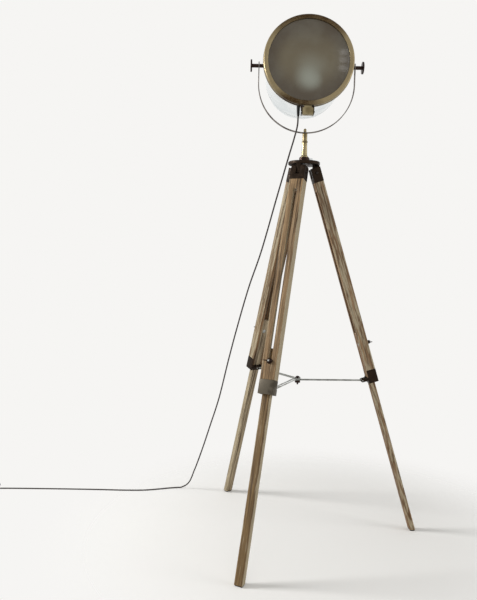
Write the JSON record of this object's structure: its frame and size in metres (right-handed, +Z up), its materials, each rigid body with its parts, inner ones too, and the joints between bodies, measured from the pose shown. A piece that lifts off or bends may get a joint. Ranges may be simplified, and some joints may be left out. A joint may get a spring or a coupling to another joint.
{
  "type": "tripod floor lamp",
  "caption": "Floor lamp with a glazed drum spotlight in a tilting U yoke on a folding, telescopic wooden tripod with a slotted-bar spreader.",
  "frame": {"origin": "on the floor, at the middle of the box around the three feet", "axes": "+Z up, the lamp's glass faces -Y, the tilt axis runs along X"},
  "size_m": [1.462, 0.6655, 1.5061],
  "materials": {
    "weathered_wood": "weathered grey-brown hardwood, open grain, matt",
    "black_iron": "blackened iron, satin",
    "antique_brass": "antiqued satin brass",
    "polished_nickel": "polished nickel",
    "smoked_glass": "smoke-tinted frosted glass",
    "clear_glass": "clear glass",
    "aluminium": "spun aluminium",
    "steel": "plain bright steel",
    "porcelain": "glazed white porcelain",
    "black_rubber": "matt black rubber",
    "cloth_cord": "dark brown braided textile"
  },
  "bodies": {
    "crown": {"crown_hub": "black_iron", "post_collar": "black_iron", "pan_lock_screw": "polished_nickel", "hinge_bolt_right": "steel", "hinge_bolt_left": "steel", "hinge_bolt_front": "steel", "cord_run": "cloth_cord", "cord_floor": "cloth_cord", "cord_coil": "cloth_cord", "plug_body": "black_rubber", "plug_pins": "antique_brass"},
    "yoke": {"post": "antique_brass", "finial_nut": "antique_brass", "yoke_strap": "steel"},
    "head": {"head_housing": "polished_nickel", "lens_gasket": "black_rubber", "reflector": "aluminium", "lamp_socket": "porcelain", "bulb_cap": "aluminium", "bulb_glass": "clear_glass", "trunnion_boss_left": "black_iron", "trunnion_boss_right": "black_iron", "cord_gland": "black_rubber", "bezel_hinge_ears": "black_iron", "bezel_hinge_pin": "steel", "bezel_catch": "steel"},
    "bezel": {"bezel_ring": "antique_brass", "bezel_knuckle": "antique_brass", "lens_glass": "smoked_glass"},
    "knob_left": {"tilt_knob_left": "black_iron"},
    "knob_right": {"tilt_knob_right": "black_iron"},
    "leg_upper_right": {"leg_cap_right": "black_iron", "upper_leg_right": "weathered_wood", "leg_bracket_right": "black_iron", "stay_pin_right": "steel"},
    "leg_lower_right": {"lower_leg_right": "weathered_wood", "clamp_bolt_right": "steel", "foot_pad_right": "black_rubber"},
    "wing_right": {"wing_nut_right": "black_iron"},
    "stay_right": {"stay_right": "steel"},
    "leg_upper_left": {"leg_cap_left": "black_iron", "upper_leg_left": "weathered_wood", "leg_bracket_left": "black_iron", "stay_pin_left": "steel"},
    "leg_lower_left": {"lower_leg_left": "weathered_wood", "clamp_bolt_left": "steel", "foot_pad_left": "black_rubber"},
    "wing_left": {"wing_nut_left": "black_iron"},
    "stay_left": {"stay_left": "steel"},
    "leg_upper_front": {"leg_cap_front": "black_iron", "upper_leg_front": "weathered_wood", "leg_bracket_front": "black_iron", "stay_pin_front": "steel"},
    "leg_lower_front": {"lower_leg_front": "weathered_wood", "clamp_bolt_front": "steel", "foot_pad_front": "black_rubber"},
    "wing_front": {"wing_nut_front": "black_iron"},
    "stay_front": {"stay_front": "steel"},
    "spreader": {"spreader_bolt": "black_iron"},
    "spreader_knob": {"spreader_knob": "black_iron"}
  },
  "joints": [
    {"name": "head_pan", "type": "hinge", "parent": "crown", "child": "yoke", "pos_m": [-0.07852, 0.01179, 1.105], "axis": [0, 0, 1], "range_deg": [-60, 60], "deforming": ["cord_run"]},
    {"name": "head_tilt", "type": "hinge", "parent": "yoke", "child": "head", "pos_m": [-0.07852, 0.01179, 1.375], "axis": [1, 0, 0], "range_deg": [-40, 30], "deforming": ["cord_run"]},
    {"name": "bezel_hinge", "type": "hinge", "parent": "head", "child": "bezel", "pos_m": [-0.07852, -0.05013, 1.23498], "axis": [1, 0, 0], "range_deg": [0, 95]},
    {"name": "tilt_knob_left_spin", "type": "hinge", "parent": "head", "child": "knob_left", "pos_m": [-0.24102, 0.01179, 1.375], "axis": [1, 0, 0], "continuous": true},
    {"name": "tilt_knob_right_spin", "type": "hinge", "parent": "head", "child": "knob_right", "pos_m": [0.08398, 0.01179, 1.375], "axis": [1, 0, 0], "continuous": true},
    {"name": "leg_right_fold", "type": "hinge", "parent": "crown", "child": "leg_upper_right", "pos_m": [-0.0436, 0.01411, 1.072], "axis": [-0.0663, 0.9978, 0], "range_deg": [0, 11]},
    {"name": "leg_right_slide", "type": "slide", "parent": "leg_upper_right", "child": "leg_lower_right", "axis": [0.3, 0.0199, -0.9537], "range_m": [-0.4, 0]},
    {"name": "wing_nut_right_spin", "type": "hinge", "parent": "leg_lower_right", "child": "wing_right", "pos_m": [0.12968, 0.02562, 0.57942], "axis": [0.9516, 0.0632, 0.3007], "continuous": true},
    {"name": "stay_right_hinge", "type": "hinge", "parent": "leg_upper_right", "child": "stay_right", "pos_m": [0.11639, 0.02473, 0.4637], "axis": [-0.0663, 0.9978, 0], "range_deg": [-11, 0]},
    {"name": "spreader_slide", "type": "slide", "parent": "stay_right", "child": "spreader", "axis": [0.9978, 0.0663, 0], "range_m": [0, 0.1195]},
    {"name": "leg_left_fold", "type": "hinge", "parent": "crown", "child": "leg_upper_left", "pos_m": [-0.09799, 0.04087, 1.072], "axis": [-0.831, -0.5563, 0], "range_deg": [0, 11]},
    {"name": "leg_left_slide", "type": "slide", "parent": "leg_upper_left", "child": "leg_lower_left", "axis": [-0.1673, 0.2499, -0.9537], "range_m": [-0.4, 0]},
    {"name": "wing_nut_left_spin", "type": "hinge", "parent": "leg_lower_left", "child": "wing_left", "pos_m": [-0.19159, 0.18068, 0.59659], "axis": [-0.5306, 0.7925, 0.3007], "continuous": true},
    {"name": "stay_left_hinge", "type": "hinge", "parent": "leg_upper_left", "child": "stay_left", "pos_m": [-0.1867, 0.17338, 0.4665], "axis": [-0.831, -0.5563, 0], "range_deg": [-11, 0]},
    {"name": "leg_front_fold", "type": "hinge", "parent": "crown", "child": "leg_upper_front", "pos_m": [-0.09398, -0.01962, 1.072], "axis": [0.8973, -0.4415, 0], "range_deg": [0, 11]},
    {"name": "leg_front_slide", "type": "slide", "parent": "leg_upper_front", "child": "leg_lower_front", "axis": [-0.1328, -0.2698, -0.9537], "range_m": [-0.4, 0]},
    {"name": "wing_nut_front_spin", "type": "hinge", "parent": "leg_lower_front", "child": "wing_front", "pos_m": [-0.1745, -0.18326, 0.55176], "axis": [-0.4211, -0.8557, 0.3007], "continuous": true},
    {"name": "stay_front_hinge", "type": "hinge", "parent": "leg_upper_front", "child": "stay_front", "pos_m": [-0.16399, -0.1619, 0.4693], "axis": [0.8973, -0.4415, 0], "range_deg": [-11, 0]},
    {"name": "spreader_knob_spin", "type": "hinge", "parent": "spreader", "child": "spreader_knob", "pos_m": [-0.07852, 0.01179, 0.4565], "axis": [0, 0, 1], "continuous": true}
  ],
  "couplings": [
    {"joint": "stay_right_hinge", "follows": "leg_right_fold", "ratio": -1},
    {"joint": "spreader_slide", "follows": "leg_right_fold", "m_per_rad": 0.6199},
    {"joint": "leg_left_fold", "follows": "leg_right_fold", "ratio": 1},
    {"joint": "stay_left_hinge", "follows": "leg_right_fold", "ratio": -1},
    {"joint": "leg_front_fold", "follows": "leg_right_fold", "ratio": 1},
    {"joint": "stay_front_hinge", "follows": "leg_right_fold", "ratio": -1}
  ]
}
